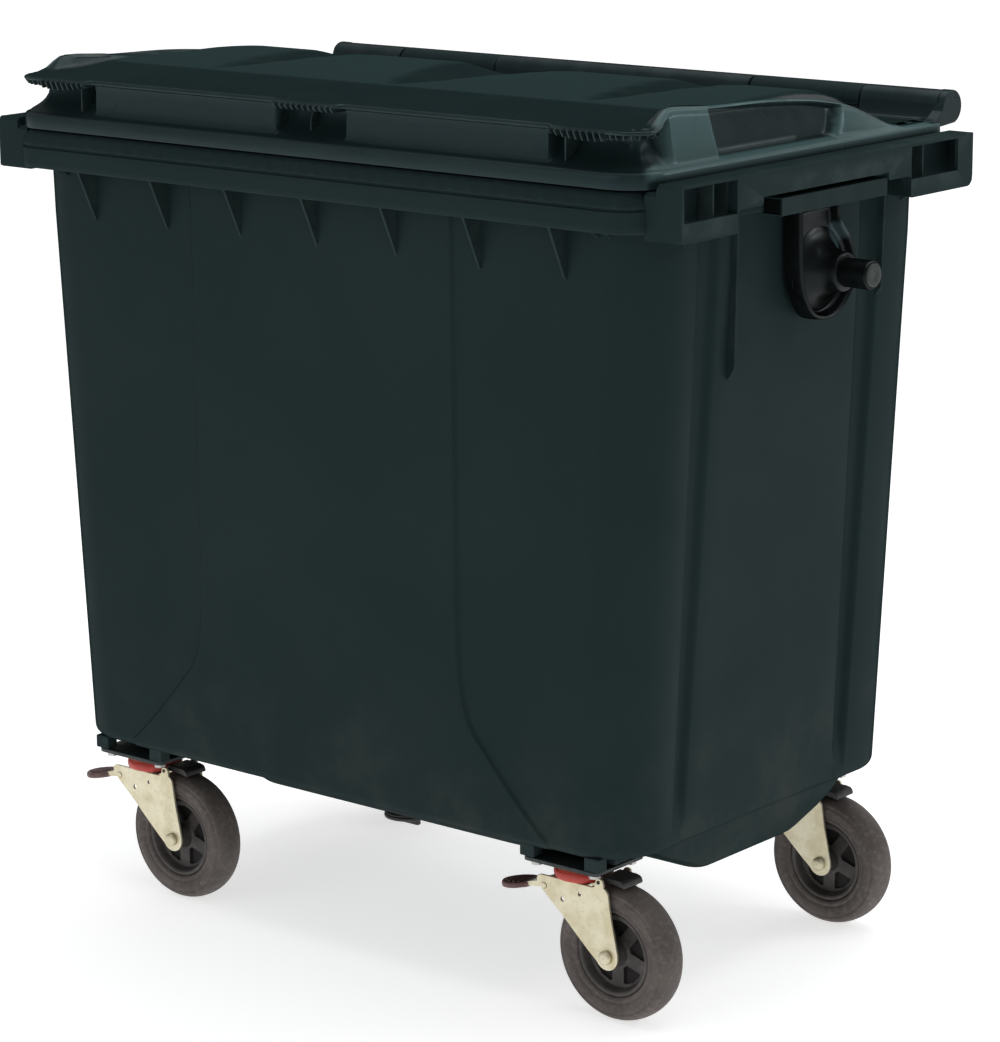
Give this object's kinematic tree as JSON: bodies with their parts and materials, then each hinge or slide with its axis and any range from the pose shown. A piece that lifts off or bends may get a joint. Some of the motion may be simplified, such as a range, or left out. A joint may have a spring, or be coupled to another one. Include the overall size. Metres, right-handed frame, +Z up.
{
  "type": "wheelie bin",
  "caption": "Large green-grey plastic refuse container on four braked swivel castors, with hinged lid, lifting rim and side trunnions.",
  "frame": {"origin": "on the floor, under the middle of the overall outline (the middle of the four castor swivel axes is 22.8 mm in front of it, because the hinge bar overhangs the rear)", "axes": "+X along the long side to the viewer's right when facing the front, +Y from the front to the hinged rear, +Z up"},
  "size_m": [1.37, 0.7628, 1.267],
  "materials": {
    "bin_plastic": "satin moulded polyethylene, fine grain",
    "lid_plastic": "satin moulded polyethylene, fine grain",
    "black_steel": "black coated pressed steel",
    "dark_steel": "dark coated steel plate",
    "zinc": "bright zinc plated steel",
    "yellow_zinc": "pale yellow passivated zinc plate",
    "grey_plastic": "grey plastic end cap",
    "black_plastic": "black moulded plastic",
    "hub_plastic": "black moulded wheel centre",
    "red_plastic": "red dust ring",
    "pedal_plastic": "dusty red pedal",
    "seal_rubber": "black rubber washer",
    "tyre_rubber": "dark brown-grey solid rubber"
  },
  "bodies": {
    "bin": {"bin_body": "bin_plastic", "hinge_pin_left": "zinc", "hinge_pin_right": "zinc", "rear_grip_left": "bin_plastic", "rear_grip_right": "bin_plastic", "trunnion_bracket_left": "black_steel", "trunnion_bracket_right": "black_steel", "trunnion_pin_left": "black_steel", "trunnion_pin_right": "black_steel", "trunnion_cap_left": "grey_plastic", "trunnion_cap_right": "grey_plastic", "castor_plate_fl": "dark_steel", "castor_plate_fr": "dark_steel", "castor_plate_rl": "dark_steel", "castor_plate_rr": "dark_steel", "kingpin_fl": "zinc", "kingpin_fr": "zinc", "kingpin_rl": "zinc", "kingpin_rr": "zinc"},
    "lid": {"lid": "lid_plastic"},
    "plug": {"drain_plug": "black_plastic", "drain_seal": "seal_rubber"},
    "swivel_fl": {"fork_fl": "yellow_zinc", "swivel_ring_fl": "red_plastic", "axle_bolt_fl": "yellow_zinc", "axle_nut_fl": "yellow_zinc"},
    "wheel_fl": {"hub_fl": "hub_plastic", "tyre_fl": "tyre_rubber"},
    "pedal_fl": {"brake_pedal_fl": "pedal_plastic"},
    "shoe_fl": {"brake_shoe_fl": "black_plastic"},
    "swivel_fr": {"fork_fr": "yellow_zinc", "swivel_ring_fr": "red_plastic", "axle_bolt_fr": "yellow_zinc", "axle_nut_fr": "yellow_zinc"},
    "wheel_fr": {"hub_fr": "hub_plastic", "tyre_fr": "tyre_rubber"},
    "pedal_fr": {"brake_pedal_fr": "pedal_plastic"},
    "shoe_fr": {"brake_shoe_fr": "black_plastic"},
    "swivel_rl": {"fork_rl": "yellow_zinc", "swivel_ring_rl": "red_plastic", "axle_bolt_rl": "yellow_zinc", "axle_nut_rl": "yellow_zinc"},
    "wheel_rl": {"hub_rl": "hub_plastic", "tyre_rl": "tyre_rubber"},
    "pedal_rl": {"brake_pedal_rl": "pedal_plastic"},
    "shoe_rl": {"brake_shoe_rl": "black_plastic"},
    "swivel_rr": {"fork_rr": "yellow_zinc", "swivel_ring_rr": "red_plastic", "axle_bolt_rr": "yellow_zinc", "axle_nut_rr": "yellow_zinc"},
    "wheel_rr": {"hub_rr": "hub_plastic", "tyre_rr": "tyre_rubber"},
    "pedal_rr": {"brake_pedal_rr": "pedal_plastic"},
    "shoe_rr": {"brake_shoe_rr": "black_plastic"}
  },
  "joints": [
    {"name": "lid_hinge", "type": "hinge", "parent": "bin", "child": "lid", "pos_m": [0, 0.35819, 1.207], "axis": [-1, 0, 0], "range_deg": [0, 265]},
    {"name": "drain_plug_turn", "type": "hinge", "parent": "bin", "child": "plug", "pos_m": [0, -0.1728, 0.178], "axis": [0, 0, -1], "range_deg": [0, 360]},
    {"name": "castor_swivel_fl", "type": "hinge", "parent": "bin", "child": "swivel_fl", "pos_m": [-0.416, -0.27881, 0.2], "axis": [0, 0, 1], "continuous": true},
    {"name": "wheel_spin_fl", "type": "hinge", "parent": "swivel_fl", "child": "wheel_fl", "pos_m": [-0.351, -0.27881, 0.097], "axis": [0, 1, 0], "continuous": true},
    {"name": "brake_pedal_press_fl", "type": "hinge", "parent": "swivel_fl", "child": "pedal_fl", "pos_m": [-0.46, -0.27881, 0.178], "axis": [0, -1, 0], "range_deg": [0, 14]},
    {"name": "brake_shoe_tilt_fl", "type": "hinge", "parent": "swivel_fl", "child": "shoe_fl", "pos_m": [-0.365, -0.27881, 0.202], "axis": [0, 1, 0], "range_deg": [0, 4]},
    {"name": "castor_swivel_fr", "type": "hinge", "parent": "bin", "child": "swivel_fr", "pos_m": [0.416, -0.27881, 0.2], "axis": [0, 0, 1], "continuous": true},
    {"name": "wheel_spin_fr", "type": "hinge", "parent": "swivel_fr", "child": "wheel_fr", "pos_m": [0.481, -0.27881, 0.097], "axis": [0, 1, 0], "continuous": true},
    {"name": "brake_pedal_press_fr", "type": "hinge", "parent": "swivel_fr", "child": "pedal_fr", "pos_m": [0.372, -0.27881, 0.178], "axis": [0, -1, 0], "range_deg": [0, 14]},
    {"name": "brake_shoe_tilt_fr", "type": "hinge", "parent": "swivel_fr", "child": "shoe_fr", "pos_m": [0.467, -0.27881, 0.202], "axis": [0, 1, 0], "range_deg": [0, 4]},
    {"name": "castor_swivel_rl", "type": "hinge", "parent": "bin", "child": "swivel_rl", "pos_m": [-0.416, 0.2332, 0.2], "axis": [0, 0, 1], "continuous": true},
    {"name": "wheel_spin_rl", "type": "hinge", "parent": "swivel_rl", "child": "wheel_rl", "pos_m": [-0.351, 0.2332, 0.097], "axis": [0, 1, 0], "continuous": true},
    {"name": "brake_pedal_press_rl", "type": "hinge", "parent": "swivel_rl", "child": "pedal_rl", "pos_m": [-0.46, 0.2332, 0.178], "axis": [0, -1, 0], "range_deg": [0, 14]},
    {"name": "brake_shoe_tilt_rl", "type": "hinge", "parent": "swivel_rl", "child": "shoe_rl", "pos_m": [-0.365, 0.2332, 0.202], "axis": [0, 1, 0], "range_deg": [0, 4]},
    {"name": "castor_swivel_rr", "type": "hinge", "parent": "bin", "child": "swivel_rr", "pos_m": [0.416, 0.2332, 0.2], "axis": [0, 0, 1], "continuous": true},
    {"name": "wheel_spin_rr", "type": "hinge", "parent": "swivel_rr", "child": "wheel_rr", "pos_m": [0.481, 0.2332, 0.097], "axis": [0, 1, 0], "continuous": true},
    {"name": "brake_pedal_press_rr", "type": "hinge", "parent": "swivel_rr", "child": "pedal_rr", "pos_m": [0.372, 0.2332, 0.178], "axis": [0, -1, 0], "range_deg": [0, 14]},
    {"name": "brake_shoe_tilt_rr", "type": "hinge", "parent": "swivel_rr", "child": "shoe_rr", "pos_m": [0.467, 0.2332, 0.202], "axis": [0, 1, 0], "range_deg": [0, 4]}
  ],
  "couplings": [
    {"joint": "brake_shoe_tilt_fl", "follows": "brake_pedal_press_fl", "ratio": 0.28571},
    {"joint": "brake_shoe_tilt_fr", "follows": "brake_pedal_press_fr", "ratio": 0.28571},
    {"joint": "brake_shoe_tilt_rl", "follows": "brake_pedal_press_rl", "ratio": 0.28571},
    {"joint": "brake_shoe_tilt_rr", "follows": "brake_pedal_press_rr", "ratio": 0.28571}
  ]
}
